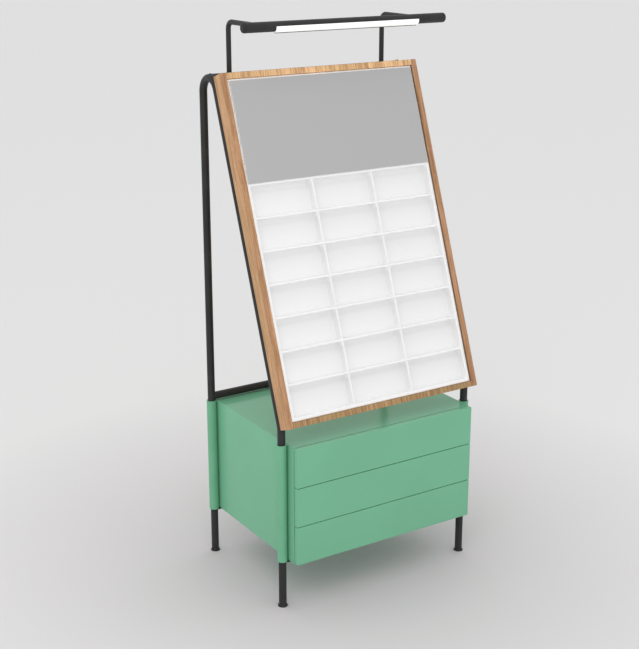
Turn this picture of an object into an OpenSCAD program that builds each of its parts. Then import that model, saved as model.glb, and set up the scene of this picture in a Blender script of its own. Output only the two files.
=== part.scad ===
// Shop display stand: a black bent-tube frame carries a sloping oak case with a
// white compartment tray, a three-drawer cabinet below and a lamp bar above.
// Millimetres. Front faces -Y, +X is to the right, the floor is z = 0.

/* [Frame] */
// Distance between the left and right leg axes
leg_span_x = 628; // [560:1:700]
// Distance between the front and rear leg axes
leg_span_y = 402; // [380:1:480]
// Outside diameter of the frame tube
tube_d = 22; // [19:0.5:28]
// Wall of the frame tube
tube_wall = 1.5; // [1:0.1:2.5]
// Lean of the front members from the vertical
lean = 20.3; // [17:0.1:23]
// Height where the leaning member would meet the front leg axis
knee_z = 539; // [528:1:570]
// Radius of the hairpin bend at the top of the side frames
top_bend_r = 40.7; // [38:0.1:50]
// Radius of the knee bend above the front legs
knee_bend_r = 50; // [30:1:90]
// How deep the frame tubes and the legs plug into the corner sleeves
plug_depth = 60; // [40:1:90]
// Width of the flat bars under the cabinet
brace_w = 25; // [16:1:40]
// Thickness of the flat bars under the cabinet
brace_t = 4; // [3:0.5:8]

/* [Cabinet] */
// Height of the underside of the corner sleeves
sleeve_bottom_z = 140.5; // [110:0.5:180]
// Height of the cabinet top and of the sleeve tops
cabinet_top_z = 490.5; // [450:0.5:520]
// Height of the underside of the cabinet
cabinet_bottom_z = 142; // [130:0.5:190]
// Outside diameter of the corner sleeves
sleeve_d = 29; // [27:0.5:34]
// Thickness of the side, top and bottom boards
board_t = 15; // [12:0.5:19]
// Reach of the drawer fronts ahead of the front leg axis
front_reach = 57; // [50:1:80]
// Reach of the cabinet behind the rear leg axis
rear_reach = 10; // [0:1:14]
// Thickness of the drawer fronts
front_t = 15; // [12:0.5:19]
// Shadow gap between the drawer fronts and around them
front_gap = 2; // [1.5:0.1:4]

/* [Drawers] */
// Number of drawers
drawer_count = 3; // [3:1:3]
// Depth of a drawer box from front to back
drawer_depth = 400; // [300:1:410]
// Height of the sides of a drawer box
drawer_side_h = 78; // [60:1:82]
// Clearance of the lowest drawer box over the cabinet floor
box_room = 4; // [2:0.5:6]
// Thickness of the sides and back of a drawer box
drawer_side_t = 12; // [9:0.5:15]
// Room for one runner beside a drawer box
runner_room = 12.7; // [12:0.1:16]
// Height of a runner
runner_h = 35; // [27:1:45]

/* [Sloping case] */
// Length of the oak case along the slope
case_h = 968; // [900:1:975]
// Depth of the oak case square to its front
case_depth = 40; // [38:0.5:52]
// Thickness of the upright oak boards
stile_t = 18; // [15:0.5:22]
// Thickness of the top and bottom oak boards
rail_t = 16; // [14:0.5:22]
// How far the case hangs below the knee, along the slope
case_drop = 5; // [0:1:12]

/* [Tray] */
// Columns of compartments
tray_columns = 3; // [2:1:4]
// Rows of compartments
tray_rows = 7; // [5:1:8]
// Spacing of the shelves along the slope
shelf_pitch = 91; // [80:0.5:92]
// Thickness of the shelves and upright dividers
divider_t = 5; // [4:0.5:6]
// Depth of a compartment
cell_depth = 26; // [20:0.5:29]
// Width of the white rim beside the compartments
tray_rim = 10.5; // [7:0.5:14]
// Rise of a shelf towards its back, from square to the tray
shelf_tilt = 8; // [0:0.5:12]
// Step of the tray rim behind the front of the oak boards
tray_recess = 5; // [1:0.5:6]
// Step of the header panel behind the front of the oak boards
header_step = 0.5; // [0:0.1:1]

/* [Lamp] */
// Height of the lamp axis above the top bend of the side frames
lamp_rise = 147.4; // [125:0.1:240]
// Length of the lamp bar with its end caps
lamp_l = 650; // [600:1:700]
// Diameter of the lamp bar
lamp_d = 27; // [22:0.5:34]
// Distance of the lamp axis behind the front leg axis
lamp_y_offset = 160; // [120:1:200]
// Length of the light window
window_l = 458; // [400:1:560]
// Distance of each lamp arm from the end of the lamp
arm_inset = 71; // [50:1:90]
// Diameter of the lamp arms
arm_d = 14; // [12:0.5:18]
// Radius of the bend in a lamp arm
arm_bend_r = 20; // [18:1:40]

/* [Fits] */
// Gap left where two finished pieces only touch
touch = 0.15; // [0.1:0.05:0.3]
// Gap between the tray and the oak boards round it
tray_fit = 0.5; // [0.3:0.1:0.9]
// Radial gap of a plugged tube in its sleeve
plug_fit = 0.3; // [0.2:0.05:0.5]
// Gap on each side of a halved joint between a divider and a shelf
lap_fit = 0.15; // [0.1:0.05:0.3]
// Gap kept round everything that slides
slide_fit = 0.5; // [0.4:0.1:1]

/* [Hidden] */
front_y = (front_reach - sleeve_d / 2 - leg_span_y) / 2;
rear_y = front_y + leg_span_y;
half_x = leg_span_x / 2;
tube_r = tube_d / 2;
sleeve_r = sleeve_d / 2;
bore_r = tube_r - tube_wall;

// Top bend: the leaning line and the rear post meet far above, and the bend joins them
meet_z = knee_z + leg_span_y / tan(lean);
bend_z = meet_z - top_bend_r / tan(lean / 2);
bend_y = rear_y - top_bend_r;
apex_z = bend_z + top_bend_r;
knee_tan = knee_bend_r * tan(lean / 2);
slant_l = norm([leg_span_y, meet_z - knee_z]) - top_bend_r / tan(lean / 2) - knee_tan;

glide_h = 6;
glide_rim = 2.2;
glide_r = tube_r + 3;
glide_plug = 24;
brace_z = cabinet_bottom_z - brace_t - touch;
rear_tube_z = cabinet_top_z + tube_r + 2;
fin_w = sleeve_d / 20;

side_x = half_x - sleeve_r - touch;
cab_front_y = front_y - front_reach + front_t + front_gap;
cab_rear_y = rear_y + rear_reach;
cab_depth = cab_rear_y - cab_front_y;
inner_x = side_x - board_t;
back_t = 6;

front_bottom_z = cabinet_bottom_z + 3;
front_h = (cabinet_top_z - 0.5 - front_bottom_z - (drawer_count - 1) * front_gap) / drawer_count;
box_w = 2 * (inner_x - runner_room);
box_front_y = front_y - front_reach + front_t;
drawer_floor_t = 5;
floor_groove = 6;
runner_t = 1.5;

case_back = tube_r + touch;
case_y = front_y - case_drop * sin(lean) - (case_back + case_depth) * cos(lean);
case_z = knee_z - case_drop * cos(lean) + (case_back + case_depth) * sin(lean);
case_w = leg_span_x + stile_t;
case_in_w = case_w - 2 * stile_t;
tray_w = case_in_w - 2 * tray_fit;
tray_bottom = rail_t + tray_fit;
tray_top = case_h - rail_t - tray_fit;
cell_w0 = tray_w / 2 - tray_rim;
first_shelf = tray_bottom + tray_rim - divider_t / 2 + shelf_pitch;
last_shelf = first_shelf + (tray_rows - 2) * shelf_pitch;
header_bottom = last_shelf + shelf_pitch + divider_t / 2 + 1;
col_pitch = (2 * cell_w0 + divider_t) / tray_columns;
floor_t = 2;
floor_d = tray_recess + cell_depth;
back_board_t = 4;
screw_r = 2.3;
screw_us = [90, case_h / 2, case_h - 90];

lamp_r = lamp_d / 2;
arm_span = lamp_l - 2 * arm_inset;
lamp_y = front_y + lamp_y_offset;
lamp_z = apex_z + lamp_rise;
lamp_wall = 2.2;
lamp_bore = lamp_r - lamp_wall;
window_top = 5;
window_bottom = -85;
lens_drop = 2.5;
lens_wall = 1.8;
lip_t = 1.2;
cap_l = 9;

function drawer_z(i) = front_bottom_z + i * (front_h + front_gap);
function shelf_u(k) = first_shelf + k * shelf_pitch;
function divider_x(k) = (k - (tray_columns - 2) / 2) * col_pitch;

powder_black = [0.16, 0.16, 0.165];
sage = [0.46, 0.69, 0.57];
oak = [0.73, 0.57, 0.42];
white_plastic = [0.95, 0.95, 0.95];
header_gray = [0.71, 0.71, 0.71];
birch = [0.86, 0.78, 0.64];
zinc = [0.70, 0.71, 0.72];
opal = [0.98, 0.98, 0.96];
rubber = [0.10, 0.10, 0.10];

$fn = 40;

// ---- shared shapes

// A round bar along +X, centred, with an optional bore
module x_bar(l, r, b = 0) {
  rotate([0, 90, 0]) difference() {
    cylinder(h = l, r = r, center = true);
    if (b > 0) cylinder(h = l + 2, r = b, center = true);
  }
}

// A tube standing on the XY plane; a bore of 0 makes it solid
module tube_run(l, r, b = 0) {
  difference() {
    cylinder(h = l, r = r, $fn = 32);
    if (b > 0) translate([0, 0, -1]) cylinder(h = l + 2, r = b, $fn = 32);
  }
}

// Part of a tube ring in the YZ plane, from one angle to another
module yz_bend(ring_r, r, from, to, b = 0) {
  rotate([90, 0, 90]) rotate([0, 0, from])
    rotate_extrude(angle = to - from, $fn = 72)
      translate([ring_r, 0]) difference() {
        circle(r = r, $fn = 32);
        if (b > 0) circle(r = b, $fn = 32);
      }
}

// Places children in the sloping case: x across, y square into the case, z up the slope
module on_case() {
  translate([0, case_y, case_z]) rotate([-lean, 0, 0]) children();
}

module each_corner() {
  for (sx = [-1, 1], y = [front_y, rear_y]) translate([sx * half_x, y, 0]) children();
}

// ---- tube frame

// One bent tube: rear post, hairpin bend, leaning member, knee and front stub
module side_frame(sx) {
  end_z = cabinet_top_z - plug_depth;
  color(powder_black) translate([sx * half_x, 0, 0]) {
    translate([0, rear_y, end_z]) tube_run(bend_z - end_z, tube_r, bore_r);
    translate([0, bend_y, bend_z]) yz_bend(top_bend_r, tube_r, 0, 180 - lean, bore_r);
    translate([0, front_y, knee_z]) rotate([-lean, 0, 0]) {
      difference() {
        translate([0, 0, knee_tan]) tube_run(slant_l, tube_r, bore_r);
        // holes for the screws that hold the oak case
        for (u = screw_us) translate([0, -2 * tube_r, u - case_drop]) rotate([-90, 0, 0])
          cylinder(h = 4 * tube_r, r = screw_r + 0.5, $fn = 20);
      }
      translate([0, knee_bend_r, knee_tan]) yz_bend(knee_bend_r, tube_r, 180, 180 + lean, bore_r);
      rotate([lean, 0, 0]) translate([0, 0, end_z - knee_z])
        tube_run(knee_z - knee_tan - end_z, tube_r, bore_r);
    }
  }
}

module rear_cross_tube() {
  color(powder_black) difference() {
    translate([0, rear_y, rear_tube_z]) x_bar(leg_span_x, tube_r, bore_r);
    each_corner() translate([0, 0, rear_tube_z - tube_d]) cylinder(h = 2 * tube_d, r = tube_r + touch);
  }
}

module top_cross_tube() {
  color(powder_black) difference() {
    translate([0, bend_y, apex_z]) x_bar(leg_span_x, tube_r, bore_r);
    for (sx = [-1, 1]) translate([sx * half_x, bend_y, bend_z])
      yz_bend(top_bend_r, tube_r + touch, 30, 150);
  }
}

// Flat bar under the cabinet floor, coped round the legs and the ends of the sleeves
module floor_brace(y) {
  color(powder_black) difference() {
    translate([-half_x, y - brace_w / 2, brace_z]) cube([leg_span_x, brace_w, brace_t]);
    each_corner() {
      translate([0, 0, brace_z - tube_d]) cylinder(h = 3 * tube_d, r = tube_r + touch);
      translate([0, 0, sleeve_bottom_z - touch]) cylinder(h = 2 * tube_d, r = sleeve_r + touch);
    }
  }
}

module lower_leg(sx, y) {
  color(powder_black) translate([sx * half_x, y, glide_h])
    tube_run(sleeve_bottom_z + plug_depth - glide_h, tube_r, bore_r);
}

// Flared glide with a plug that fits the bore of the leg
module foot_glides() {
  color(rubber) each_corner() rotate_extrude() difference() {
    union() {
      square([glide_r, glide_rim]);
      polygon([[0, 0], [glide_r, glide_rim], [glide_r - 0.6, glide_rim + 1], [tube_r + 1, glide_h - 1.4],
               [tube_r + 0.2, glide_h - touch], [bore_r - touch, glide_h - touch],
               [bore_r - touch, glide_h + glide_plug - 2], [bore_r - 1.5, glide_h + glide_plug],
               [0, glide_h + glide_plug]]);
    }
    translate([-1, 2 * glide_h]) square([bore_r - 2, glide_plug]);
  }
}

// ---- cabinet

// Full-height sleeve with a weld fin that reaches the cabinet side
module corner_sleeve(sx, y) {
  color(sage) translate([sx * half_x, y, 0]) difference() {
    union() {
      translate([0, 0, sleeve_bottom_z]) cylinder(h = cabinet_top_z - sleeve_bottom_z, r = sleeve_r);
      translate([-sx * (sleeve_r + touch - fin_w / 2), 0, (cabinet_bottom_z + cabinet_top_z) / 2])
        cube([fin_w, sleeve_r / 2, cabinet_top_z - cabinet_bottom_z], center = true);
    }
    translate([0, 0, sleeve_bottom_z - 1])
      cylinder(h = cabinet_top_z - sleeve_bottom_z + 2, r = tube_r + plug_fit);
  }
}

// Board with mitred long edges; the section is drawn in X and Z and runs along Y
module mitred_board(points) {
  color(sage) translate([0, cab_rear_y, 0]) rotate([90, 0, 0]) linear_extrude(cab_depth) polygon(points);
}

module cabinet_side(sx) {
  mitred_board([[sx * side_x, cabinet_bottom_z], [sx * side_x, cabinet_top_z],
                [sx * inner_x, cabinet_top_z - board_t], [sx * inner_x, cabinet_bottom_z + board_t]]);
}

module cabinet_top() {
  mitred_board([[-side_x, cabinet_top_z], [side_x, cabinet_top_z],
                [inner_x, cabinet_top_z - board_t], [-inner_x, cabinet_top_z - board_t]]);
}

module cabinet_floor() {
  mitred_board([[-side_x, cabinet_bottom_z], [side_x, cabinet_bottom_z],
                [inner_x, cabinet_bottom_z + board_t], [-inner_x, cabinet_bottom_z + board_t]]);
}

module cabinet_back() {
  color(sage) translate([-inner_x, cab_rear_y - back_t - 4, cabinet_bottom_z + board_t])
    cube([2 * inner_x, back_t, cabinet_top_z - cabinet_bottom_z - 2 * board_t]);
}

// ---- drawers

// Rectangle with rounded corners, centred
module round_rect(w, h, r) {
  square([w, h - 2 * r], center = true);
  square([w - 2 * r, h], center = true);
  for (sx = [-1, 1], sy = [-1, 1]) translate([sx * (w / 2 - r), sy * (h / 2 - r)]) circle(r = r, $fn = 24);
}

module drawer_front(i) {
  color(sage) translate([0, box_front_y, drawer_z(i) + front_h / 2]) rotate([90, 0, 0])
    linear_extrude(front_t) round_rect(2 * side_x, front_h, 1.2);
}

function box_z(i) = drawer_z(i) + cabinet_bottom_z + board_t + box_room - front_bottom_z;
function rail_z(i) = box_z(i) + drawer_side_h / 2 - runner_h / 2;

module drawer_box(i) {
  color(birch) translate([-box_w / 2, box_front_y, box_z(i)]) difference() {
    cube([box_w, drawer_depth, drawer_side_h]);
    translate([drawer_side_t, drawer_side_t, floor_groove + drawer_floor_t])
      cube([box_w - 2 * drawer_side_t, drawer_depth - 2 * drawer_side_t, drawer_side_h]);
    translate([drawer_side_t, drawer_side_t, -1])
      cube([box_w - 2 * drawer_side_t, drawer_depth - 2 * drawer_side_t, floor_groove + 1]);
  }
}

// Channel profile standing on its web, lips pointing to +X
module channel(w, h, t) {
  difference() {
    square([w, h]);
    translate([t, t]) square([w, h - 2 * t]);
  }
}

module runner_rails(sx) {
  color(zinc) for (i = [0 : drawer_count - 1])
    translate([sx * inner_x, box_front_y + drawer_depth, rail_z(i)]) mirror([sx > 0 ? 1 : 0, 0, 0])
      rotate([90, 0, 0]) linear_extrude(drawer_depth - 6) channel(runner_room - 1, runner_h, runner_t);
}

// Slider screwed to the drawer, running between the lips of the rail
module drawer_sliders(i) {
  color(zinc) for (sx = [-1, 1])
    translate([sx * box_w / 2, box_front_y + drawer_depth - 6, rail_z(i) + runner_t + slide_fit])
      mirror([sx < 0 ? 1 : 0, 0, 0]) rotate([90, 0, 0]) linear_extrude(drawer_depth - 24)
        channel(runner_room - 2 * runner_t, runner_h - 2 * runner_t - 2 * slide_fit, 2);
}

// ---- sloping case

module case_stile(sx) {
  color(oak) on_case() difference() {
    translate([sx * (case_w - stile_t) / 2 - stile_t / 2, 0, 0]) cube([stile_t, case_depth, case_h]);
    for (u = screw_us) translate([sx * half_x, case_depth - 22, u]) rotate([-90, 0, 0])
      cylinder(h = 30, r = screw_r + 0.2, $fn = 20);
  }
}

module case_rail(u) {
  color(oak) on_case() translate([-case_in_w / 2, 0, u]) cube([case_in_w, case_depth, rail_t]);
}

module case_back() {
  color(oak) on_case() translate([-case_in_w / 2 + touch, floor_d + floor_t, rail_t + touch])
    cube([case_in_w - 2 * touch, back_board_t, case_h - 2 * rail_t - 2 * touch]);
}

// Round head, shank through the tube and into the oak
module case_screws() {
  color(powder_black) on_case() for (sx = [-1, 1], u = screw_us)
    translate([sx * half_x, case_depth, u]) rotate([-90, 0, 0]) {
      translate([0, 0, -20]) cylinder(h = 21 + tube_d, r = screw_r, $fn = 20);
      translate([0, 0, 2 * tube_r + 0.3]) cylinder(h = 1.6, r1 = 5, r2 = 4.6, $fn = 24);
      translate([0, 0, 2 * tube_r + 1.9]) cylinder(h = 1.5, r1 = 4.6, r2 = 2.6, $fn = 24);
    }
}

// ---- tray

// Rim round the compartments and the header, one moulding
module tray_rim_frame() {
  color(white_plastic) on_case() translate([-tray_w / 2, tray_recess, tray_bottom]) difference() {
    cube([tray_w, cell_depth - touch, tray_top - tray_bottom]);
    translate([tray_rim, -1, tray_rim])
      cube([tray_w - 2 * tray_rim, cell_depth + 2, header_bottom - divider_t - 1 - tray_bottom - tray_rim]);
    // shallow step that the header panel sits in
    translate([5.5, -1, header_bottom - tray_bottom])
      cube([tray_w - 11, 2, tray_top - header_bottom - 5.5]);
    translate([tray_rim, 4, header_bottom + 9 - tray_bottom])
      cube([tray_w - 2 * tray_rim, cell_depth, tray_top - header_bottom - 20]);
  }
}

module tray_floor() {
  color(white_plastic) on_case() translate([-tray_w / 2, floor_d, tray_bottom])
    cube([tray_w, floor_t - touch, tray_top - tray_bottom]);
}

module header_panel() {
  color(header_gray) on_case()
    translate([-tray_w / 2 + 5.5 + touch, header_step, header_bottom + touch])
      cube([tray_w - 11 - 2 * touch, tray_recess + 1 - touch - header_step,
            tray_top - header_bottom - 5.5 - 2 * touch]);
}

// One shelf blank, tilted, with its front edge centred on the case origin
module shelf_blank(grow = 0) {
  rotate([shelf_tilt, 0, 0])
    translate([-cell_w0, -2, -divider_t / 2 - grow]) cube([2 * cell_w0, cell_depth + 6, divider_t + 2 * grow]);
}

// Keeps what lies between the front of the tray and its floor
module tray_slab(from, to) {
  translate([-case_w, from, 0]) cube([2 * case_w, to - from, case_h]);
}

// Shelf notched from behind at each divider
module tray_shelf(k) {
  color(white_plastic) on_case() difference() {
    intersection() {
      translate([0, tray_recess, shelf_u(k)]) shelf_blank();
      translate([-cell_w0 + touch, 0, 0]) cube([2 * (cell_w0 - touch), 200, case_h]);
      tray_slab(tray_recess, floor_d - touch);
    }
    for (c = [0 : tray_columns - 2])
      translate([divider_x(c) - divider_t / 2 - lap_fit, tray_recess + cell_depth / 2 - lap_fit, 0])
        cube([divider_t + 2 * lap_fit, cell_depth, case_h]);
  }
}

// Divider notched from the front at each shelf, so the two lock halfway
module tray_divider(c) {
  color(white_plastic) on_case() difference() {
    translate([divider_x(c) - divider_t / 2, tray_recess, tray_bottom + tray_rim + touch])
      cube([divider_t, cell_depth - touch,
            header_bottom - divider_t - 1 - tray_bottom - tray_rim - 2 * touch]);
    intersection() {
      for (k = [0 : tray_rows - 2]) translate([0, tray_recess, shelf_u(k)]) shelf_blank(lap_fit);
      tray_slab(0, tray_recess + cell_depth / 2 + lap_fit);
    }
  }
}

// ---- lamp

// The arm stands on the top cross tube, bends forward and meets the lamp bar
module lamp_arm(sx) {
  color(powder_black) translate([sx * arm_span / 2, 0, 0]) {
    difference() {
      translate([0, bend_y, apex_z]) tube_run(lamp_z - arm_bend_r - apex_z, arm_d / 2);
      translate([0, bend_y, apex_z]) x_bar(2 * arm_d, tube_r + touch);
    }
    translate([0, bend_y - arm_bend_r, lamp_z - arm_bend_r]) yz_bend(arm_bend_r, arm_d / 2, 0, 90);
    difference() {
      translate([0, bend_y - arm_bend_r, lamp_z]) rotate([90, 0, 0])
        tube_run(bend_y - arm_bend_r - lamp_y, arm_d / 2);
      translate([0, lamp_y, lamp_z]) x_bar(2 * arm_d, lamp_r + touch);
    }
  }
}

// Pie slice of a disc between two angles, 0 facing forward and 90 up
module slice(r, from, to) {
  steps = 8;
  polygon(concat([[0, 0]],
    [for (i = [0 : steps]) let (t = from + (to - from) * i / steps) r * 1.3 * [-cos(t), sin(t)]]));
}

// Turns a section drawn in Y and Z into a bar along X
module along_x(l) {
  rotate([90, 0, 90]) linear_extrude(l, center = true) children();
}

// Tube with a long window that faces forward and down, and a lip below the window
module lamp_body() {
  color(powder_black) translate([0, lamp_y, lamp_z]) difference() {
    union() {
      x_bar(lamp_l - 2 * cap_l, lamp_r);
      translate([touch - window_l / 2, -1 - lamp_r * cos(window_bottom), -lamp_r - lens_drop - 0.4])
        cube([window_l - 2 * touch, 1 + lip_t, lens_drop + lamp_wall]);
    }
    x_bar(lamp_l, lamp_bore);
    along_x(window_l) slice(lamp_r, window_bottom, window_top);
  }
}

// Lens of the same round as the bar but dropped, so it bulges along the underside
module lamp_diffuser() {
  margin = 1;
  color(opal) translate([0, lamp_y, lamp_z]) difference() {
    intersection() {
      translate([0, 0, -lens_drop]) x_bar(window_l - 2 * touch, lamp_r - 0.1);
      along_x(window_l - 2 * touch) slice(lamp_r + lens_drop, window_bottom + margin, window_top - margin);
    }
    translate([0, 0, -lens_drop]) x_bar(window_l - 2 * lens_wall, lamp_r - lens_wall);
  }
}

// Strip that carries the diodes, on a foot that stands on the wall behind it
module led_strip() {
  aim = (window_top + window_bottom) / 2;
  color(white_plastic) translate([0, lamp_y, lamp_z]) rotate([-aim, 0, 0]) {
    translate([0, 1.5, 0]) cube([window_l - 6, 1.6, 12], center = true);
    translate([-window_l / 2 + 3, 1.5, -2]) cube([window_l - 6, lamp_bore - 2, 4]);
  }
}

module lamp_cap(sx) {
  color(rubber) translate([sx * (lamp_l / 2 - cap_l), lamp_y, lamp_z]) rotate([0, sx * 90, 0])
    rotate_extrude() polygon(concat(
      [[0, -8], [lamp_bore - touch, -8], [lamp_bore - touch, touch], [lamp_r, touch]],
      [for (t = [0 : 15 : 90]) [lamp_r - 6 + 6 * cos(t), cap_l - 6 + 6 * sin(t)]], [[0, cap_l]]));
}

// ---- list of nodes

side_frame(-1);  // side_frame_left
side_frame(1);  // side_frame_right
rear_cross_tube();
top_cross_tube();
floor_brace(front_y);  // front_floor_brace
floor_brace(rear_y);  // rear_floor_brace
lower_leg(-1, front_y);  // lower_leg_front_left
lower_leg(1, front_y);  // lower_leg_front_right
lower_leg(-1, rear_y);  // lower_leg_rear_left
lower_leg(1, rear_y);  // lower_leg_rear_right
foot_glides();
corner_sleeve(-1, front_y);  // corner_sleeve_front_left
corner_sleeve(1, front_y);  // corner_sleeve_front_right
corner_sleeve(-1, rear_y);  // corner_sleeve_rear_left
corner_sleeve(1, rear_y);  // corner_sleeve_rear_right
cabinet_side(-1);  // cabinet_side_left
cabinet_side(1);  // cabinet_side_right
cabinet_top();
cabinet_floor();
cabinet_back();
drawer_front(0);  // drawer_front_lower
drawer_front(1);  // drawer_front_middle
drawer_front(2);  // drawer_front_upper
drawer_box(0);  // drawer_box_lower
drawer_box(1);  // drawer_box_middle
drawer_box(2);  // drawer_box_upper
drawer_sliders(0);  // drawer_sliders_lower
drawer_sliders(1);  // drawer_sliders_middle
drawer_sliders(2);  // drawer_sliders_upper
runner_rails(-1);  // runner_rails_left
runner_rails(1);  // runner_rails_right
case_stile(-1);  // case_stile_left
case_stile(1);  // case_stile_right
case_rail(0);  // case_rail_bottom
case_rail(case_h - rail_t);  // case_rail_top
case_back();
case_screws();
tray_rim_frame();
tray_floor();
header_panel();
tray_divider(0);  // tray_divider_left
tray_divider(1);  // tray_divider_right
tray_shelf(0);  // tray_shelf_1
tray_shelf(1);  // tray_shelf_2
tray_shelf(2);  // tray_shelf_3
tray_shelf(3);  // tray_shelf_4
tray_shelf(4);  // tray_shelf_5
tray_shelf(5);  // tray_shelf_6
lamp_arm(-1);  // lamp_arm_left
lamp_arm(1);  // lamp_arm_right
lamp_body();
lamp_diffuser();
led_strip();
lamp_cap(-1);  // lamp_cap_left
lamp_cap(1);  // lamp_cap_right
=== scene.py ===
import math

import bmesh
import bpy
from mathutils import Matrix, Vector


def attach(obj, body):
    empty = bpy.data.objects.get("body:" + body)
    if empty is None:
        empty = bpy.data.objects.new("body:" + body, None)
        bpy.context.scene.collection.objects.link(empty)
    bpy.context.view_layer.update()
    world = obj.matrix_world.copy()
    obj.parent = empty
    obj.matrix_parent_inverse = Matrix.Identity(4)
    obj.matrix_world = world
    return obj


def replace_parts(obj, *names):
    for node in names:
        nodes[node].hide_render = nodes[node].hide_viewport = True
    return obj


# sizes are in millimetres, and become Blender's metres with * mm
mm = 0.001

# camera first: a centred lens, turned a little down and to the right, its place in metres
camera = {"place": (-1.9952, -3.0081, 1.8795), "pitch": 17.65, "yaw": 32.53, "lens": 72.63,
          "sensor": 36, "reach": 200}

camData = bpy.data.cameras.new("standCamera")
camData.sensor_fit = "AUTO"
camData.sensor_width = camera["sensor"]
camData.lens = camera["lens"]
camData.clip_end = camera["reach"]
cam = bpy.data.objects.new("standCamera", camData)
cam.location = camera["place"]
cam.rotation_euler = (math.radians(90 - camera["pitch"]), 0, math.radians(-camera["yaw"]))
bpy.context.collection.objects.link(cam)
bpy.context.scene.camera = cam

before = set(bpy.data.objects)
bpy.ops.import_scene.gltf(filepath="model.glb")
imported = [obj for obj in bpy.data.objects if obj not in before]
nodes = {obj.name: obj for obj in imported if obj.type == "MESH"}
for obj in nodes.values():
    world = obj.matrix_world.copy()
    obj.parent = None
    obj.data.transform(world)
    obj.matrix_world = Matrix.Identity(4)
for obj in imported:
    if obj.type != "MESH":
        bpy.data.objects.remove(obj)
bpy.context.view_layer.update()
print("frame loaded,", len(nodes), "nodes")


# small helpers

levels = ("lower", "middle", "upper")
sides = {"left": -1, "right": 1}


def toLinear(hexText):
    # sRGB hex to the linear values the shaders work in
    out = []
    for i in (1, 3, 5):
        c = int(hexText[i:i + 2], 16) / 255
        out.append(c / 12.92 if c <= 0.04045 else ((c + 0.055) / 1.055) ** 2.4)
    return (*out, 1.0)


def pointsOf(name):
    # the points of a node where it stands, in metres
    node = nodes[name]
    return [node.matrix_world @ v.co for v in node.data.vertices]


def cornersOf(name):
    # lowest and highest corner of a node, in millimetres
    points = pointsOf(name)
    return [[pick(p[i] for p in points) / mm for i in range(3)] for pick in (min, max)]


def middleOf(name):
    low, high = cornersOf(name)
    return [(a + b) / 2 for a, b in zip(low, high)]


def halfOf(name):
    # half of what a node measures along x, y and z
    low, high = cornersOf(name)
    return [(b - a) / 2 for a, b in zip(low, high)]


def addNode(tree, kind, links=None, **settings):
    # adds one node; links are wires or plain values for its sockets
    made = tree.nodes.new(kind)
    for key, value in settings.items():
        setattr(made, key, value)
    for key, value in (links or {}).items():
        if isinstance(value, bpy.types.NodeSocket):
            tree.links.new(value, made.inputs[key])
        else:
            made.inputs[key].default_value = value
    return made


def newMaterial(name):
    made = bpy.data.materials.new(name)
    made.use_nodes = True
    tree = made.node_tree
    tree.nodes.clear()
    shader = addNode(tree, "ShaderNodeBsdfPrincipled")
    addNode(tree, "ShaderNodeOutputMaterial", {"Surface": shader.outputs[0]})
    return made, tree, shader


def objectSpace(tree):
    return addNode(tree, "ShaderNodeTexCoord").outputs["Object"]


def stretched(tree, where, x, y=None, z=None):
    # space scaled so that one noise cell measures x, y and z millimetres, or x all ways
    scale = [1 / (size * mm) for size in (x, y or x, z or x)]
    return addNode(tree, "ShaderNodeMapping", {"Vector": where, "Scale": scale}).outputs[0]


def noise(tree, where, detail=2.0, roughness=0.5):
    return addNode(tree, "ShaderNodeTexNoise", {"Vector": where, "Scale": 1.0, "Detail": detail,
                                                "Roughness": roughness}).outputs[0]


def remap(tree, value, fromLow, fromHigh, toLow=0.0, toHigh=1.0):
    return addNode(tree, "ShaderNodeMapRange",
                   {0: value, 1: fromLow, 2: fromHigh, 3: toLow, 4: toHigh}).outputs[0]


def blendColours(tree, factor, first, second, mode="MIX"):
    # sockets 6 and 7 are the two colours of the Mix node, output 2 its colour
    return addNode(tree, "ShaderNodeMix", {0: factor, 6: first, 7: second},
                   data_type="RGBA", blend_type=mode).outputs[2]


def twoTones(tree, spec, value, low=0.3, high=0.7):
    # the two close colours of a finish, spread by a noise
    return blendColours(tree, remap(tree, value, low, high),
                        toLinear(spec["colour"]), toLinear(spec["cloud"]))


def finishShader(tree, shader, spec, colour, relief, strength, depth, gloss, less, more):
    # colour, bump of the relief (depth in millimetres), and a roughness that swings with the gloss noise
    bump = addNode(tree, "ShaderNodeBump", {"Height": relief, "Strength": strength, "Distance": depth * mm})
    rough = remap(tree, gloss, 0.3, 0.7, spec["roughness"] - less, spec["roughness"] + more)
    tree.links.new(colour, shader.inputs["Base Color"])
    tree.links.new(bump.outputs[0], shader.inputs["Normal"])
    tree.links.new(rough, shader.inputs["Roughness"])
    shader.inputs["Specular IOR Level"].default_value = spec["sheen"]


def addPiece(name, grid, made, body):
    # turns a bmesh into a shown piece that rides on a body
    mesh = bpy.data.meshes.new(name)
    grid.normal_update()
    grid.to_mesh(mesh)
    grid.free()
    for one in (made if isinstance(made, list) else [made]):
        mesh.materials.append(one)
    piece = bpy.data.objects.new(name, mesh)
    bpy.context.collection.objects.link(piece)
    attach(piece, body)
    return piece


def smoothFaces(piece, angle):
    # smooth shading that keeps corners sharper than the angle
    for face in piece.data.polygons:
        face.use_smooth = True
    piece.data.set_sharp_from_angle(angle=math.radians(angle))


def closedPiece(name, grid, made, body, angle=40):
    # a piece of closed shells, all faces turned outwards
    bmesh.ops.recalc_face_normals(grid, faces=grid.faces)
    piece = addPiece(name, grid, made, body)
    smoothFaces(piece, angle)
    return piece


def skinRings(grid, rings, joined=False):
    # skins a row of rings; its two ends are joined to each other, or closed
    for one, two in zip(rings, rings[1:] + (rings[:1] if joined else [])):
        for i in range(len(one)):
            j = (i + 1) % len(one)
            grid.faces.new((one[i], one[j], two[j], two[i]))
    if not joined:
        grid.faces.new(rings[0][::-1])
        grid.faces.new(rings[-1])


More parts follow.
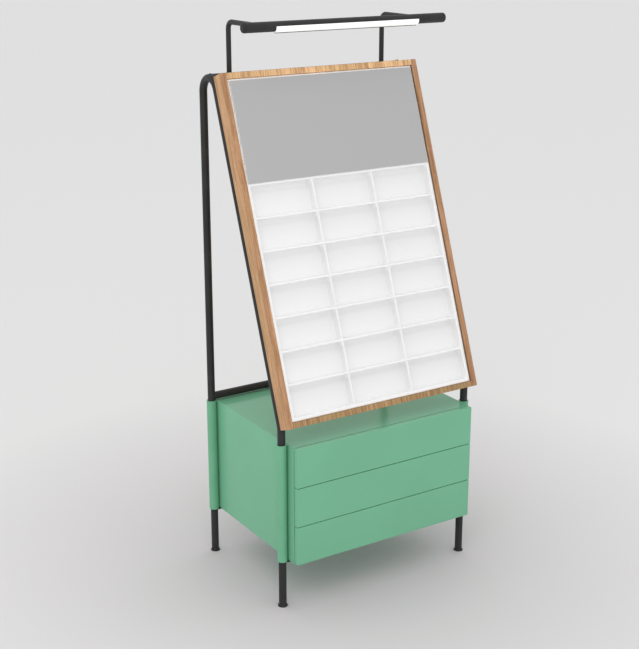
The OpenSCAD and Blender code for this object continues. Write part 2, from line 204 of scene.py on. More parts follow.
def roundEdges(grid, edges, width, segments, clamp=False):
    # rounds edges by a width in millimetres; clamp keeps neighbouring rounds apart
    bmesh.ops.bevel(grid, geom=edges, offset=width * mm, segments=segments, profile=0.5, affect="EDGES",
                    clamp_overlap=clamp)


def bodyOf(name):
    # drawer pieces ride on their drawer, all others on the frame
    for level in levels:
        if name.startswith("drawer") and level in name:
            return "drawer_" + level
    return "frame"


# how a rounded copy is made: points closer than join (mm) become one, faces within flat (degrees) become
# one, edges over corner degrees are rounded, and those over sharp degrees stay crisp in the shading
easing = {"join": 0.002, "flat": 1, "corner": 25, "sharp": 50, "firstSteps": 5, "weight": 80}


def eased(name, width, made, chosen=None, segments=3, first=None):
    # a copy of the node with its corners rounded as a sanded or moulded edge is;
    # first gives a width and a test for edges that are rounded before the rest
    grid = bmesh.new()
    grid.from_mesh(nodes[name].data)
    grid.transform(nodes[name].matrix_world)
    bmesh.ops.remove_doubles(grid, verts=grid.verts, dist=easing["join"] * mm)
    bmesh.ops.dissolve_limit(grid, angle_limit=math.radians(easing["flat"]),
                             verts=grid.verts, edges=grid.edges)
    if first:
        roundEdges(grid, [e for e in grid.edges if first[1](e)], first[0], easing["firstSteps"])
    corners = [e for e in grid.edges if len(e.link_faces) == 2
               and e.calc_face_angle(0) > math.radians(easing["corner"]) and (chosen is None or chosen(e))]
    roundEdges(grid, corners, width, segments, clamp=chosen is None)
    piece = addPiece(name + "_eased", grid, made, bodyOf(name))
    smoothFaces(piece, easing["sharp"])
    even = piece.modifiers.new("flatFaces", "WEIGHTED_NORMAL")
    even.keep_sharp = True
    even.weight = easing["weight"]
    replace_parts(piece, name)
    return piece


# the sloping case, read from its left board: the foot and the top of its front edge give the slope
boardPoints = pointsOf("case_stile_left")
edgeFoot = min(boardPoints, key=lambda p: p.y)
edgeTop = max(boardPoints, key=lambda p: p.z)
caseStart = Vector((0, edgeFoot.y, edgeFoot.z))
caseEnd = Vector((0, edgeTop.y, edgeTop.z))
upward = (caseEnd - caseStart).normalized()
caseInto = Vector((0, upward.z, -upward.y))
leanAngle = math.atan2(upward.y, upward.z)


def depthOf(point):
    # how far a point lies behind the front of the oak boards, in millimetres
    return (point - caseStart).dot(caseInto) / mm


def upSlope(point):
    # how far a point lies up the slope of the case, in millimetres
    return (point - caseStart).dot(upward) / mm


def onSlope(x, up, depth):
    # the place in millimetres that lies so far across, up the slope and behind the front
    return Vector((x, 0, 0)) + caseStart / mm + upward * up + caseInto * depth


caseHeight = upSlope(caseEnd)
caseDepth = max(depthOf(p) for p in boardPoints)
caseMiddle = onSlope(0, caseHeight / 2, caseDepth / 2) * mm


# materials

blackCoat = {"colour": "#222223", "cloud": "#2a2a2b", "roughness": 0.45, "grain": 0.9, "sheen": 0.38}
sageCoat = {"colour": "#6fb18d", "cloud": "#6bac88", "roughness": 0.4, "grain": 1.1, "sheen": 0.35}


def powderCoat(name, spec):
    # powder-coated steel: sprayed and baked, so a fine orange peel and a soft sheen
    made, tree, shader = newMaterial(name)
    where = objectSpace(tree)
    peel = noise(tree, stretched(tree, where, spec["grain"]), 2.0, 0.6)
    cloud = noise(tree, stretched(tree, where, 60), 3.0)
    finishShader(tree, shader, spec, twoTones(tree, spec, cloud, 0.35, 0.65),
                 relief=peel, strength=0.25, depth=0.05, gloss=peel, less=0.05, more=0.07)
    return made


# the top board is painted a little darker than the others: a painted shade from the case that leans over it
sagePaint = {"colour": "#77b895", "cloud": "#74b391", "roughness": 0.17, "sheen": 0.2}
# painted shade: darker colours for the cabinet top
sageShadedTop = {"colour": "#6fae8d", "cloud": "#6ca989", "roughness": 0.14, "sheen": 0.24}


def lacquer(name, spec):
    # MDF sprayed with polyurethane lacquer: very even, long soft ripples, a clear but weak reflection
    made, tree, shader = newMaterial(name)
    where = objectSpace(tree)
    ripple = noise(tree, stretched(tree, where, 14), 1.5)
    cloud = noise(tree, stretched(tree, where, 220), 2.0)
    finishShader(tree, shader, spec, twoTones(tree, spec, cloud),
                 relief=ripple, strength=0.12, depth=0.04, gloss=ripple, less=0.02, more=0.03)
    return made


oakWood = {"light": "#e0b183", "middle": "#cc9c70", "dark": "#b08058", "pore": "#7a5436",
           "fleck": "#e8c096", "olive": "#c39a66", "roughness": 0.55, "sheen": 0.35,
           "wander": 140, "drift": 12}


def oiledOak(name, spec, shift, board):
    # natural oak, planed and matt oiled, grain up the slope: soft growth bands, silky fibres, ray flecks
    # and short pores
    made, tree, shader = newMaterial(name)
    where = objectSpace(tree)
    # turned so that local z runs up the slope of the case, then bent a little so that no grain is straight
    local = addNode(tree, "ShaderNodeMapping",
                    {"Vector": where, "Rotation": (leanAngle, 0, 0), "Location": shift}).outputs[0]
    wander = addNode(tree, "ShaderNodeTexNoise",
                     {"Vector": local, "Scale": 1 / (spec["wander"] * mm), "Detail": 2.0}).outputs["Color"]
    reach = spec["drift"] * mm
    drift = addNode(tree, "ShaderNodeVectorMath", {0: wander, 1: (reach, reach, 0.0)},
                    operation="MULTIPLY").outputs[0]
    bent = addNode(tree, "ShaderNodeVectorMath", {0: local, 1: drift}, operation="ADD").outputs[0]
    # width, thickness and length of the marks in millimetres
    bands = noise(tree, stretched(tree, bent, 6, 6, 190), 4.0, 0.62)
    fibre = noise(tree, stretched(tree, bent, 1.6, 1.6, 60), 4.0, 0.7)
    pores = noise(tree, stretched(tree, bent, 0.9, 0.9, 11), 1.0)
    flecks = noise(tree, stretched(tree, bent, 4.5, 4.5, 12), 1.0)
    blush = noise(tree, stretched(tree, bent, 40, 40, 90), 2.0)
    patch = noise(tree, stretched(tree, local, 130, 130, 400), 2.0)
    spread = 0.2 / board["contrast"]
    base = addNode(tree, "ShaderNodeValToRGB", {"Fac": remap(tree, bands, 0.5 - spread, 0.5 + spread)})
    ramp = base.color_ramp
    ramp.elements[0].color = toLinear(spec["dark"])
    ramp.elements[1].color = toLinear(spec["light"])
    ramp.elements.new(0.42).color = toLinear(spec["middle"])
    warm = blendColours(tree, remap(tree, blush, 0.3, 0.7, 0.0, 0.55),
                        base.outputs[0], toLinear(spec["olive"]))
    flecked = blendColours(tree, remap(tree, flecks, 0.6, 0.75, 0.0, 0.35), warm, toLinear(spec["fleck"]))
    # each board keeps its own tone and carries painted light: one tint on its face to the front and one on
    # its sides for how the light falls on them, and a painted shade on the walls that look into the case
    # (on the top board a painted light)
    normal = addNode(tree, "ShaderNodeNewGeometry").outputs["True Normal"]
    ahead = addNode(tree, "ShaderNodeVectorMath", {0: normal, 1: -caseInto},
                    operation="DOT_PRODUCT").outputs["Value"]
    fromMiddle = addNode(tree, "ShaderNodeVectorMath", {0: where, 1: caseMiddle},
                         operation="SUBTRACT").outputs[0]
    outward = addNode(tree, "ShaderNodeVectorMath", {0: fromMiddle, 1: normal},
                      operation="DOT_PRODUCT").outputs["Value"]
    # painted light: the faces to the front and to the sides get their own tints for how the light falls on
    # them, on top of each board's tone
    faceToneAndLight = blendColours(tree, remap(tree, ahead, 0.8, 0.95), (*board["side"], 1), (*board["front"], 1))
    faceLitOak = blendColours(tree, 1.0, flecked, faceToneAndLight, "MULTIPLY")
    # painted shade on the inner walls that look into the case; on the top board it is a painted light
    paintedWallShading = remap(tree, outward, -0.1, 0.0, board["paintedWallShading"], 1.0)
    patched = remap(tree, patch, 0.35, 0.65, 1 - board["patch"], 1 + board["patch"])
    streak = remap(tree, fibre, 0.32, 0.68, 0.8, 1.18)
    patchAndPaintedShading = addNode(tree, "ShaderNodeMath", {0: patched, 1: paintedWallShading}, operation="MULTIPLY").outputs[0]
    fibrePatchAndPaintedShading = addNode(tree, "ShaderNodeMath", {0: streak, 1: patchAndPaintedShading}, operation="MULTIPLY").outputs[0]
    streaked = addNode(tree, "ShaderNodeVectorMath", {0: faceLitOak, "Scale": fibrePatchAndPaintedShading},
                       operation="SCALE").outputs[0]
    poreMask = remap(tree, pores, 0.62, 0.76, 0.0, 0.45)
    colour = blendColours(tree, poreMask, streaked, toLinear(spec["pore"]))
    height = addNode(tree, "ShaderNodeMath", {0: fibre, 1: poreMask}, operation="SUBTRACT").outputs[0]
    finishShader(tree, shader, spec, colour,
                 relief=height, strength=0.3, depth=0.12, gloss=fibre, less=0.08, more=0.1)
    return made


trayPlastic = {"colour": "#fbfbfb", "cloud": "#f9f9f9", "roughness": 0.4, "sheen": 0.4, "milk": 0.4}
traySheet = {"colour": "#eeeeee", "cloud": "#ececec", "roughness": 0.42, "sheen": 0.3, "milk": 0}
blackPlastic = {"colour": "#202021", "cloud": "#1c1c1d", "roughness": 0.5, "sheen": 0.4, "milk": 0}
boardCore = {"colour": "#fafaf9", "cloud": "#f6f6f5", "roughness": 0.6, "sheen": 0.3, "milk": 0}
# how far light seeps into the milky white resin
milkDepth = 9.0


def moulded(name, spec):
    # injection-moulded plastic: even colour, a fine spark-eroded texture that softens its gloss
    made, tree, shader = newMaterial(name)
    where = objectSpace(tree)
    grit = noise(tree, stretched(tree, where, 0.8), 1.0)
    flow = noise(tree, stretched(tree, where, 90), 1.0)
    finishShader(tree, shader, spec, twoTones(tree, spec, flow),
                 relief=grit, strength=0.15, depth=0.03, gloss=grit, less=0.04, more=0.05)
    if spec["milk"]:
        # light comes through the thin shelves a little
        shader.inputs["Subsurface Weight"].default_value = spec["milk"]
        shader.inputs["Subsurface Radius"].default_value = (1.0, 1.0, 1.0)
        shader.inputs["Subsurface Scale"].default_value = milkDepth * mm
    return made


headerFilm = {"colour": "#b0b0b0", "cloud": "#aeaeae", "roughness": 0.34, "sheen": 0.3}


def satinFilm(name, spec):
    # printed film laminated on the header board: flat satin grey with a barely visible calendered ripple
    made, tree, shader = newMaterial(name)
    where = objectSpace(tree)
    ripple = noise(tree, stretched(tree, where, 35), 1.0)
    speck = noise(tree, stretched(tree, where, 0.5), 1.0)
    finishShader(tree, shader, spec, twoTones(tree, spec, speck),
                 relief=ripple, strength=0.1, depth=0.1, gloss=speck, less=0.03, more=0.03)
    return made


birchPly = {"colour": "#e2c79c", "cloud": "#cbab7b", "crossPly": "#b8925f", "glue": "#8a6a45",
            "ply": 1.4, "roughness": 0.5, "sheen": 0.5}


def birch(name, spec, across):
    # birch plywood, sanded and varnished: long faint fibres on the faces, the plies as stripes on top
    made, tree, shader = newMaterial(name)
    where = objectSpace(tree)
    fibre = noise(tree, stretched(tree, where, 60, 60, 1.5), 4.0, 0.6)
    through = addNode(tree, "ShaderNodeSeparateXYZ", {0: where}).outputs[across]
    ply = addNode(tree, "ShaderNodeMath", {0: through, 1: spec["ply"] * mm}, operation="DIVIDE").outputs[0]
    # the glue shows at the end of each ply, and every second ply is end grain
    onePly = addNode(tree, "ShaderNodeMath", {0: ply}, operation="FRACT").outputs[0]
    half = addNode(tree, "ShaderNodeMath", {0: ply, 1: 0.5}, operation="MULTIPLY").outputs[0]
    twoPlies = addNode(tree, "ShaderNodeMath", {0: half}, operation="FRACT").outputs[0]
    end = blendColours(tree, remap(tree, twoPlies, 0.48, 0.52),
                       toLinear(spec["colour"]), toLinear(spec["crossPly"]))
    edge = blendColours(tree, remap(tree, onePly, 0.86, 0.92, 0.0, 0.8), end, toLinear(spec["glue"]))
    normal = addNode(tree, "ShaderNodeNewGeometry").outputs["True Normal"]
    up = addNode(tree, "ShaderNodeSeparateXYZ", {0: normal}).outputs["Z"]
    colour = blendColours(tree, remap(tree, up, 0.9, 0.95), twoTones(tree, spec, fibre), edge)
    finishShader(tree, shader, spec, colour,
                 relief=fibre, strength=0.2, depth=0.05, gloss=fibre, less=0.05, more=0.08)
    return made


zincSteel = {"colour": "#b9bcc0", "cloud": "#9fa3a8", "roughness": 0.34, "swing": 0.08}


def zincPlate(name, spec):
    # zinc-plated strip steel, rolled: bright grey with a fine spangle and rolling lines
    made, tree, shader = newMaterial(name)
    lines = noise(tree, stretched(tree, objectSpace(tree), 3, 80, 0.7), 3.0)
    rough = remap(tree, lines, 0.3, 0.7,
                  spec["roughness"] - spec["swing"], spec["roughness"] + spec["swing"])
    tree.links.new(twoTones(tree, spec, lines), shader.inputs["Base Color"])
    tree.links.new(rough, shader.inputs["Roughness"])
    shader.inputs["Metallic"].default_value = 1.0
    return made


opal = {"colour": "#f4f4f2", "glow": 0.35, "smooth": 0.3, "matt": 0.4}


def opalDiffuser(name, spec):
    # opal acrylic, extruded, with the diodes lit behind it: an even milky glow under a soft gloss
    made, tree, shader = newMaterial(name)
    haze = noise(tree, stretched(tree, objectSpace(tree), 20))
    tree.links.new(remap(tree, haze, 0.3, 0.7, spec["smooth"], spec["matt"]), shader.inputs["Roughness"])
    shader.inputs["Base Color"].default_value = toLinear(spec["colour"])
    shader.inputs["Emission Color"].default_value = toLinear(spec["colour"])
    shader.inputs["Emission Strength"].default_value = spec["glow"]
    return made


blackSteel = powderCoat("blackPowderCoat", blackCoat)
greenSteel = powderCoat("sagePowderCoat", sageCoat)
greenBoard = lacquer("sageLacquer", sagePaint)
greenShadedTop = lacquer("sageLacquerShadedTop", sageShadedTop)
whiteMoulding = moulded("whitePolystyrene", trayPlastic)
greyFilm = satinFilm("greyHeaderFilm", headerFilm)
whiteSheet = moulded("whiteTraySheet", traySheet)
whiteCore = moulded("whiteBoardCore", boardCore)
blackMoulding = moulded("blackNylon", blackPlastic)
plywood = birch("birchPlywood", birchPly, "X")
plywoodCross = birch("birchPlywoodCross", birchPly, "Y")
zinc = zincPlate("zincPlatedSteel", zincSteel)
litOpal = opalDiffuser("opalAcrylic", opal)


def dress(starts, made):
    # gives a material to the nodes whose names start with these words
    for name in nodes:
        if name.startswith(starts):
            mesh = nodes[name].data
            mesh.materials.clear()
            mesh.materials.append(made)


dress(("side_frame", "rear_cross", "top_cross", "front_floor", "rear_floor", "lower_leg",
       "lamp_arm", "lamp_body", "case_screws"), blackSteel)
dress("corner_sleeve", greenSteel)
dress(("cabinet", "drawer_front"), greenBoard)
dress(("tray", "led_strip"), whiteMoulding)
dress(("foot_glides", "lamp_cap"), blackMoulding)
dress("tray_floor", whiteSheet)
dress(("drawer_sliders", "runner_rails"), zinc)
dress("lamp_diffuser", litOpal)
print("materials done")


# oak boards: tones one by one, the top board the palest, as in the photograph; the front and side tints
# also hold painted light, and the inner walls a painted shade, on the top board a painted light
boards = {
    "case_stile_left": {"side": (0.875, 0.88, 0.91), "front": (0.77, 0.735, 0.777),
                        "contrast": 1.8, "patch": 0.03, "paintedWallShading": 0.5},
    "case_stile_right": {"side": (0.9, 0.9, 0.92), "front": (0.69, 0.64, 0.675),
                         "contrast": 2.4, "patch": 0.03, "paintedWallShading": 0.45},
    "case_rail_bottom": {"side": (0.75, 0.78, 0.75), "front": (0.61, 0.655, 0.61),
                         "contrast": 3.4, "patch": 0.08, "paintedWallShading": 0.9},
    "case_rail_top": {"side": (1.14, 1.19, 1.24), "front": (1.29, 1.38, 1.46),
                      "contrast": 2.8, "patch": 0.14, "paintedWallShading": 1.3},
    "case_back": {"side": (0.95, 0.95, 0.95), "front": (0.95, 0.95, 0.95),
                  "contrast": 1.5, "patch": 0.03, "paintedWallShading": 1.0},
}

# how far each edge is rounded, in millimetres
rounding = {"oak": 0.6, "cabinet": 0.3, "cabinetBack": 0.4, "drawerFront": 1.1,
            "tray": 1.0, "trayOuter": 2.6, "header": 0.5}

for i, (name, board) in enumerate(boards.items()):
    # each board is cut from another place of the wood
    oak = oiledOak("oiledOak" + str(i), oakWood, (0.37 * i, 0.21 * i, 0.53 * i), board)
    eased(name, rounding["oak"], oak)

for name in ("cabinet_side_left", "cabinet_side_right", "cabinet_top", "cabinet_floor"):
    eased(name, rounding["cabinet"], greenShadedTop if name == "cabinet_top" else greenBoard)
eased("cabinet_back", rounding["cabinetBack"], greenBoard)
for level in levels:
    eased("drawer_front_" + level, rounding["drawerFront"], greenBoard)

# tray: only its front edges are rounded, and the rim's outline is the roundest
tray = {"recess": 5.0, "flush": 0.05, "near": 0.5, "inside": 3.5, "shelves": 6}
rimPoints = pointsOf("tray_rim_frame")
rimHalf = max(p.x for p in rimPoints) / mm
rimLow = min(upSlope(p) for p in rimPoints)
rimHigh = max(upSlope(p) for p in rimPoints)


def onTrayFront(edge):
    return all(abs(depthOf(v.co) - tray["recess"]) < tray["flush"] for v in edge.verts)


def rimGap(vertex):
    # how far a point lies inside the outline of the rim, in millimetres
    up = upSlope(vertex.co)
    return min(rimHalf - abs(vertex.co.x) / mm, up - rimLow, rimHigh - up)


def onRimOutline(edge):
    return onTrayFront(edge) and all(rimGap(v) < tray["near"] for v in edge.verts)


def onRimOpening(edge):
    return onTrayFront(edge) and all(rimGap(v) > tray["inside"] for v in edge.verts)


eased("tray_rim_frame", rounding["tray"], whiteMoulding, onRimOpening,
      first=(rounding["trayOuter"], onRimOutline))
for k in range(tray["shelves"]):
    eased("tray_shelf_" + str(k + 1), rounding["tray"], whiteMoulding, onTrayFront)
for side in sides:
    eased("tray_divider_" + side, rounding["tray"], whiteMoulding, onTrayFront)

# lining: thin sheet drawn into each compartment, which rounds its corners
lining = {"sheet": 0.35, "cove": 4.5, "corner": 5.5, "least": 0.9, "square": 0.4, "clear": 0.05,
          "lip": 24.0, "lipIn": 0.15, "shoulder": 20.0, "cellDepth": 26.0, "half": 294.0, "low": 27.0,
          "pitch": 91.0, "wall": 5.0, "tilt": 8.0, "rows": 7, "columns": 3}
# painted light and shade: low is the sheet's own white, high a painted shade up the compartment, and the
# whitest a painted light under each shelf
drawnWhite = {"low": "#eeeeee", "high": "#e7e7e7", "paintedLightUnderShelf": "#ffffff", "roughness": 0.42, "sheen": 0.3,
              "lowAt": 0.12, "highAt": 0.78, "paintedLightUnderShelfAt": 0.97}


def drawnSheet(name, spec, cells):
    # vacuum-drawn polystyrene sheet: an even white, with a painted shade that deepens up each compartment
    # and a painted light, the whitest, under each shelf
    made, tree, shader = newMaterial(name)
    where = objectSpace(tree)
    fromStart = addNode(tree, "ShaderNodeVectorMath", {0: where, 1: caseStart},
                        operation="SUBTRACT").outputs[0]
    climb = addNode(tree, "ShaderNodeVectorMath", {0: fromStart, 1: upward},
                    operation="DOT_PRODUCT").outputs["Value"]
    rows = remap(tree, climb, cells["low"] * mm, (cells["low"] + cells["pitch"]) * mm)
    rows.node.clamp = False
    part = addNode(tree, "ShaderNodeMath", {0: rows}, operation="FRACT").outputs[0]
    tone = addNode(tree, "ShaderNodeValToRGB", {"Fac": part})
    ramp = tone.color_ramp
    ramp.elements[0].position = spec["lowAt"]
    ramp.elements[0].color = toLinear(spec["low"])
    ramp.elements[1].position = spec["paintedLightUnderShelfAt"]
    ramp.elements[1].color = toLinear(spec["paintedLightUnderShelf"])
    ramp.elements.new(spec["highAt"]).color = toLinear(spec["high"])
    grit = noise(tree, stretched(tree, where, 0.8), 1.0)
    finishShader(tree, shader, spec, tone.outputs[0],
                 relief=grit, strength=0.1, depth=0.02, gloss=grit, less=0.04, more=0.05)
    return made


def roundLoop(x0, x1, u0, u1, radius, steps=5):
    # rounded rectangle as points, the corners in turn
    points = []
    for cx, cu, start in ((x1 - radius, u1 - radius, 0), (x0 + radius, u1 - radius, 90),
                          (x0 + radius, u0 + radius, 180), (x1 - radius, u0 + radius, 270)):
        for i in range(steps + 1):
            a = math.radians(start + 90 * i / steps)
            points.append((cx + radius * math.cos(a), cu + radius * math.sin(a)))
    return points


def shelfMiddle(number, height):
    # how far up the slope a shelf's middle lies; the shelves rise a little from the tray floor to the front
    rise = (lining["cellDepth"] - height) * math.tan(math.radians(lining["tilt"]))
    return lining["low"] + lining["pitch"] * number - lining["wall"] / 2 + rise


def liningRing(grid, column, row, height, inset, radius):
    # one ring of a compartment's sheet, at a height over the tray floor
    lastRow = lining["rows"] - 1
    halfShelf = lining["wall"] / 2 / math.cos(math.radians(lining["tilt"]))
    bottom = shelfMiddle(row, height) + halfShelf if row else lining["low"]
    top = shelfMiddle(row + 1, height) - halfShelf if row < lastRow else \
        lining["low"] + lining["pitch"] * lining["rows"] - lining["wall"]
    cell = (2 * lining["half"] - (lining["columns"] - 1) * lining["wall"]) / lining["columns"]
    x = -lining["half"] + column * (cell + lining["wall"])
    depth = tray["recess"] + lining["cellDepth"] - height
    loop = roundLoop(x + inset, x + cell - inset, bottom + inset, top - inset, radius)
    return [grid.verts.new(onSlope(across, up, depth) * mm) for across, up in loop]


# height over the tray floor, inset and corner radius, from the closed underside over the lip to the cove
profile = [(lining["clear"], lining["clear"], lining["square"]),
           (lining["lip"], lining["clear"], lining["square"]),
           (lining["lip"], lining["lipIn"], lining["corner"]),
           (lining["shoulder"], lining["sheet"], lining["corner"])]
for degrees in range(0, 91, 15):
    t = math.radians(degrees)
    down = lining["cove"] * (1 - math.sin(t))
    inwards = lining["cove"] * (1 - math.cos(t))
    profile.append((lining["sheet"] + down, lining["sheet"] + inwards,
                    max(lining["corner"] - inwards, lining["least"])))

sheets = bmesh.new()
for column in range(lining["columns"]):
    for row in range(lining["rows"]):
        skinRings(sheets, [liningRing(sheets, column, row, *ring) for ring in profile])
liningSheet = drawnSheet("drawnTraySheet", drawnWhite, lining)
closedPiece("compartment_lining", sheets, liningSheet, "frame")

# header: white board, with the grey film on the faces that look to the front
toFront = 0.9
header = eased("header_panel", rounding["header"], [whiteCore, greyFilm], segments=2)
for face in header.data.polygons:
    if face.normal.dot(-caseInto) > toFront:
        face.material_index = 1
print("boards and tray done")


# welds at the tube joints and the flat bars; the tubes' places and radii are read from the solids
weld = {"size": 1.7, "armSize": 1.2, "barSize": 1.0, "ripple": 0.12, "pitch": 2.3, "steps": 8, "sharp": 80,
        "points": 150, "armPoints": 90, "barPoints": 41, "barSweep": 75, "barUp": 0.05}
tubeRadius = halfOf("rear_cross_tube")[2]
armRadius = halfOf("lamp_arm_right")[0]
lampRadius = halfOf("lamp_cap_right")[2]
sideX = middleOf("side_frame_right")[0]
armX = middleOf("lamp_arm_right")[0]
rearY, rearZ = middleOf("rear_cross_tube")[1:]
bendY, apexZ = middleOf("top_cross_tube")[1:]
lampY, lampZ = middleOf("lamp_cap_right")[1:]
bendRadius = rearY - bendY


def weldBead(name, path, axis, size, closed=True):
    # fillet weld laid round a joint: a round bead with the ripples of the pool, under the powder coat
    grid = bmesh.new()
    count = len(path)
    rings = []
    run = 0.0
    for i, point in enumerate(path):
        before = path[i - 1] if closed or i else point
        after = path[(i + 1) % count] if closed or i < count - 1 else point
        ahead = (after - before).normalized()
        side = (axis - ahead * axis.dot(ahead)).normalized()
        up = ahead.cross(side)
        if i:
            run += (point - path[i - 1]).length
        reach = size * (1 + weld["ripple"] * math.sin(2 * math.pi * run / weld["pitch"]))
        turns = [2 * math.pi * k / weld["steps"] for k in range(weld["steps"])]
        rings.append([grid.verts.new((point + reach * (math.cos(a) * side + math.sin(a) * up)) * mm)
                      for a in turns])
    skinRings(grid, rings, joined=closed)
    closedPiece(name, grid, blackSteel, "frame", weld["sharp"])


def offRound(radius, off):
    # how far from its axis a round tube's surface lies, at so much off its middle
    return math.sqrt(max(0.0, radius * radius - off * off))


def onRearPost(sign, a):
    # where the rear cross tube meets the post of a side frame
    r = tubeRadius
    return (sign * (sideX - offRound(r, r * math.sin(a))), rearY + r * math.sin(a), rearZ + r * math.cos(a))


def onHairpin(sign, a):
    # where the top cross tube meets the inside of the bend
    r = tubeRadius
    off = math.hypot(r * math.sin(a), bendRadius + r * math.cos(a)) - bendRadius
    return (sign * (sideX - offRound(r, off)), bendY + r * math.sin(a), apexZ + r * math.cos(a))


def onTopTube(sign, a):
    # where an arm stands on the top cross tube
    r = armRadius
    return (sign * armX + r * math.cos(a), bendY + r * math.sin(a),
            apexZ + offRound(tubeRadius, r * math.sin(a)))


def onLampBody(sign, a):
    # where an arm meets the back of the lamp
    r = armRadius
    return (sign * armX + r * math.cos(a), lampY + offRound(lampRadius, r * math.sin(a)),
            lampZ + r * math.sin(a))


def roundPath(shape, sign, count):
    return [Vector(shape(sign, 2 * math.pi * i / count)) for i in range(count)]


across, back, up = Vector((1, 0, 0)), Vector((0, 1, 0)), Vector((0, 0, 1))
for tag, sign in sides.items():
    for joint, shape, axis, count, size in (
            ("rear_", onRearPost, across, weld["points"], weld["size"]),
            ("top_", onHairpin, across, weld["points"], weld["size"]),
            ("arm_foot_", onTopTube, up, weld["armPoints"], weld["armSize"]),
            ("arm_lamp_", onLampBody, back, weld["armPoints"], weld["armSize"])):
        weldBead("weld_" + joint + tag, roundPath(shape, sign, count), axis, size)
    for row in ("front", "rear"):
        low, high = cornersOf(row + "_floor_brace")
        y = (low[1] + high[1]) / 2
        bead = []
        for i in range(weld["barPoints"]):
            a = math.radians(weld["barSweep"] * (2 * i / (weld["barPoints"] - 1) - 1))
            bead.append(Vector((sign * (sideX - tubeRadius * math.cos(a)), y + tubeRadius * math.sin(a),
                                low[2] + weld["barUp"])))
        weldBead("weld_floor_bar_" + row + "_" + tag, bead, up, weld["barSize"], closed=False)
print("welds done")


# screws: turned button heads, six through the leaning tubes and four in each drawer front
caseScrew = {"radius": 4.9, "height": 3.05, "socket": 1.75, "shank": 2.3, "length": 42.0, "fromEnd": 90.0,
             "stand": 0.3}
frontScrew = {"radius": 3.9, "height": 2.2, "socket": 1.3, "shank": 1.9, "length": 14.0, "x": 170.0,
              "up": (24.0, 60.0)}


def lathe(grid, place, axis, rings, steps=24):
    # stacks rings along an axis; a ring is (radius, height, corners) with 0 corners for round
    turnTo = Vector((0, 0, 1)).rotation_difference(axis).to_matrix()
    made = []
    for radius, height, corners in rings:
        ring = []
        for i in range(steps):
            a = 2 * math.pi * i / steps
            reach = radius
            if corners:
                part = 2 * math.pi / corners
                reach = radius * math.cos(part / 2) / math.cos(a % part - part / 2)
            turned = turnTo @ Vector((reach * math.cos(a), reach * math.sin(a), height))
            ring.append(grid.verts.new((place + turned) * mm))
        made.append(ring)
    skinRings(grid, made)


def buttonHead(spec):
    # rings for the lathe: a plain shank, a thin rim, a dome and a tapered hexagon socket, whose heights are
    # shares of the head's height
    radius, height, socket = spec["radius"], spec["height"], spec["socket"]
    shank = [(spec["shank"], -spec["length"], 0), (spec["shank"], 0, 0)]
    rim = [(radius - 0.3, 0, 0), (radius, 0.25, 0)]
    dome = []
    for degrees in (0, 15, 30, 42, 52):
        t = math.radians(degrees)
        dome.append((radius * math.cos(t), height * (0.25 + 0.75 * math.sin(t)), 0))
    hollow = [(socket + 0.5, height * 0.97, 0), (socket, height, 6), (socket, height * 0.25, 6),
              (socket * 0.4, height * 0.12, 6)]
    return shank + rim + dome + hollow


heads = bmesh.new()
for sign in sides.values():
    for climb in (caseScrew["fromEnd"], caseHeight / 2, caseHeight - caseScrew["fromEnd"]):
        seat = onSlope(sign * sideX, climb, caseDepth + 2 * tubeRadius + caseScrew["stand"])
        lathe(heads, seat, caseInto, buttonHead(caseScrew))
turnedScrews = closedPiece("case_screws_turned", heads, blackSteel, "frame")
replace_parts(turnedScrews, "case_screws")

# drawer boxes: four plywood boards and a floor in its groove, the front screwed on from inside
box = {"side": 12.0, "floor": 5.0, "floorUp": 6.0, "sanded": 0.5}


def sawnBoard(name, low, high, made, body, width=box["sanded"]):
    # one board or bar between two corners, given in millimetres, its arrises taken off;
    # its corners are counted along x first, then y, then z
    grid = bmesh.new()
    corner = [grid.verts.new(Vector((x, y, z)) * mm)
              for z in (low[2], high[2]) for y in (low[1], high[1]) for x in (low[0], high[0])]
    for loop in ((0, 2, 3, 1), (4, 5, 7, 6), (0, 1, 5, 4), (2, 6, 7, 3), (0, 4, 6, 2), (1, 3, 7, 5)):
        grid.faces.new([corner[i] for i in loop])
    roundEdges(grid, list(grid.edges), width, 2)
    piece = addPiece(name, grid, made, body)
    smoothFaces(piece, 40)
    return piece


for level in levels:
    (left, front, bottom), (right, rear, top) = cornersOf("drawer_box_" + level)
    innerLeft, innerRight = left + box["side"], right - box["side"]
    innerFront, innerRear = front + box["side"], rear - box["side"]
    floorLow = bottom + box["floorUp"]
    floorHigh = floorLow + box["floor"]
    body = "drawer_" + level
    whole = "drawer_box_" + level
    parts = [
        ("side_left", (left, front, bottom), (innerLeft, rear, top), plywood),
        ("side_right", (innerRight, front, bottom), (right, rear, top), plywood),
        ("front", (innerLeft, front, bottom), (innerRight, innerFront, top), plywoodCross),
        ("rear", (innerLeft, innerRear, bottom), (innerRight, rear, top), plywoodCross),
        ("floor", (innerLeft, innerFront, floorLow), (innerRight, innerRear, floorHigh), plywood),
    ]
    for part, low, high, made in parts:
        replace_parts(sawnBoard(whole + "_" + part, low, high, made, body), whole)
    screws = bmesh.new()
    for sign in sides.values():
        for height in frontScrew["up"]:
            lathe(screws, Vector((sign * frontScrew["x"], innerFront, bottom + height)), back,
                  buttonHead(frontScrew))
    closedPiece("drawer_screws_" + level, screws, zinc, body)
print("drawer boxes done")

# lip: folded edge of the lamp bar under its lens, placed from the middle of the bar
lip = {"half": 228, "thick": 1.2, "low": 17.5, "high": 15.0, "worn": 0.3}
sawnBoard("lamp_lip_fold", (-lip["half"], lampY - lip["thick"], lampZ - lip["low"]),
          (lip["half"], lampY, lampZ - lip["high"]), blackSteel, "frame", lip["worn"])


# floor and light

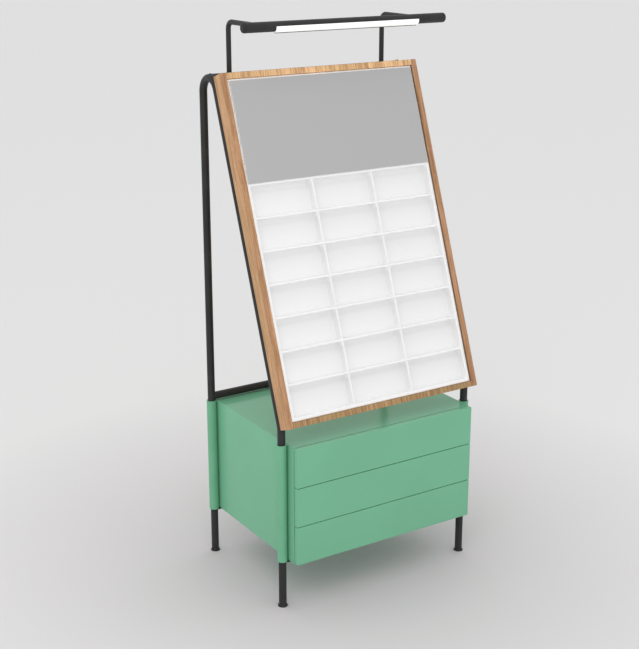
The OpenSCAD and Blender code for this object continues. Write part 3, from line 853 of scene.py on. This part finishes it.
# the floor colour near the stand is a painted shadow with a faint pink cast set against the cabinet's green
# bounce; far is the paper's own tone
studio = {"floor": "#cecacc", "far": "#e0e0e0", "nearReach": 0.38, "farReach": 1.5, "half": 60.0,
          "grain": 400, "smooth": 0.85, "matt": 0.95, "sheen": 0.1, "light": 1.0, "back": "#e2e2e2"}
key = {"place": (-2.2, -2.6, 3.6), "target": (0, 0, 0.7), "power": 34.0, "size": 2.6}


def makeFloor(spec):
    # seamless paper, matt, with a painted shadow: greyer round the stand
    mesh = bpy.data.meshes.new("studioFloor")
    half = spec["half"]
    mesh.from_pydata([(-half, -half, 0), (half, -half, 0), (half, half, 0), (-half, half, 0)],
                     [], [(0, 1, 2, 3)])
    floor = bpy.data.objects.new("studioFloor", mesh)
    bpy.context.collection.objects.link(floor)
    made, tree, shader = newMaterial("paperFloor")
    where = objectSpace(tree)
    reach = addNode(tree, "ShaderNodeVectorMath", {0: where}, operation="LENGTH").outputs["Value"]
    grain = noise(tree, stretched(tree, where, spec["grain"]))
    colour = blendColours(tree, remap(tree, reach, spec["nearReach"], spec["farReach"]),
                          toLinear(spec["floor"]), toLinear(spec["far"]))
    tree.links.new(colour, shader.inputs["Base Color"])
    tree.links.new(remap(tree, grain, 0.3, 0.7, spec["smooth"], spec["matt"]), shader.inputs["Roughness"])
    shader.inputs["Specular IOR Level"].default_value = spec["sheen"]
    mesh.materials.append(made)


def makeWorld(spec):
    # even white light; the camera and mirror reflections see the pale backdrop tone
    world = bpy.data.worlds.new("studioWorld")
    bpy.context.scene.world = world
    world.use_nodes = True
    tree = world.node_tree
    tree.nodes.clear()
    light = addNode(tree, "ShaderNodeBackground", {"Color": (1, 1, 1, 1), "Strength": spec["light"]})
    back = addNode(tree, "ShaderNodeBackground", {"Color": toLinear(spec["back"]), "Strength": 1.0})
    path = addNode(tree, "ShaderNodeLightPath")
    seen = addNode(tree, "ShaderNodeMath",
                   {0: path.outputs["Is Camera Ray"], 1: path.outputs["Is Glossy Ray"]},
                   operation="MAXIMUM").outputs[0]
    both = addNode(tree, "ShaderNodeMixShader", {0: seen, 1: light.outputs[0], 2: back.outputs[0]})
    addNode(tree, "ShaderNodeOutputWorld", {"Surface": both.outputs[0]})


def makeLamp(name, spec):
    data = bpy.data.lights.new(name, "AREA")
    data.energy = spec["power"]
    data.size = spec["size"]
    data.shape = "DISK"
    lamp = bpy.data.objects.new(name, data)
    lamp.location = spec["place"]
    aim = Vector(spec["target"]) - Vector(spec["place"])
    lamp.rotation_euler = aim.to_track_quat("-Z", "Y").to_euler()
    bpy.context.collection.objects.link(lamp)


makeFloor(studio)
makeWorld(studio)
makeLamp("keyLight", key)
bpy.context.scene.view_settings.view_transform = "Standard"
print("studio done")
